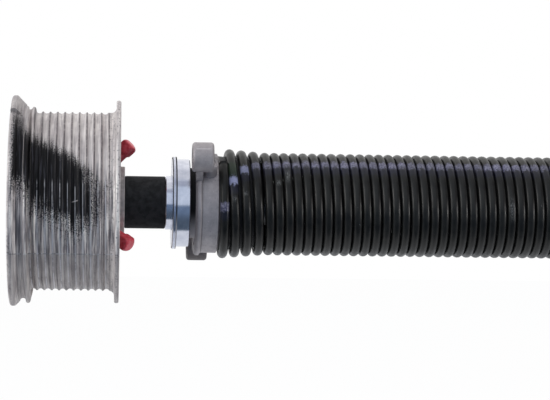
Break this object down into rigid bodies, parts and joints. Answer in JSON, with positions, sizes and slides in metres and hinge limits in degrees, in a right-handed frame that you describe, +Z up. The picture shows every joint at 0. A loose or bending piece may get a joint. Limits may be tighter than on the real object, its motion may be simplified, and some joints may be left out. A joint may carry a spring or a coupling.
{
  "type": "ramp door spring assembly",
  "caption": "Horizontal shaft with a grooved cable drum, spacer sleeve, flanged bearing and a close-wound torsion spring held between a bolted cone and a winding cone.",
  "frame": {"origin": "on the shaft's axis, in the plane where the stationary cone's lugs bolt down", "axes": "+X along the shaft from the drum to the winding cone, +Z up, the viewer of the picture on the -Y side"},
  "size_m": [0.5048, 0.124, 0.124],
  "materials": {
    "cast_aluminium": "dull die-cast",
    "red_paint": "dipped paint",
    "black_paint": "satin",
    "zinc_steel": "bright zinc plate",
    "ball_steel": "polished",
    "cone_casting": "dull die-cast",
    "spring_steel": "oil-tempered",
    "shaft_steel": "cold-drawn"
  },
  "bodies": {
    "anchor": {"stationary_cone": "cone_casting", "torsion_spring": "spring_steel", "bearing_outer_cup": "zinc_steel", "bearing_cover": "zinc_steel"},
    "shaft_line": {"shaft": "shaft_steel", "cable_drum": "cast_aluminium", "drum_set_screws": "red_paint", "spacer_sleeve": "black_paint", "bearing_inner_race": "zinc_steel", "winding_cone": "cone_casting", "winding_cone_set_screws": "red_paint"},
    "ball_set": {"bearing_balls": "ball_steel"}
  },
  "joints": [
    {"name": "shaft_spin", "type": "hinge", "parent": "anchor", "child": "shaft_line", "pos_m": [0, 0, 0], "axis": [1, 0, 0], "range_deg": [0, 1170], "stiffness_Nm_per_rad": 1.3, "deforming": ["torsion_spring"]},
    {"name": "ball_roll", "type": "hinge", "parent": "anchor", "child": "ball_set", "pos_m": [0, 0, 0], "axis": [1, 0, 0], "range_deg": [0, 490]}
  ],
  "couplings": [
    {"joint": "ball_roll", "follows": "shaft_spin", "ratio": 0.413}
  ]
}
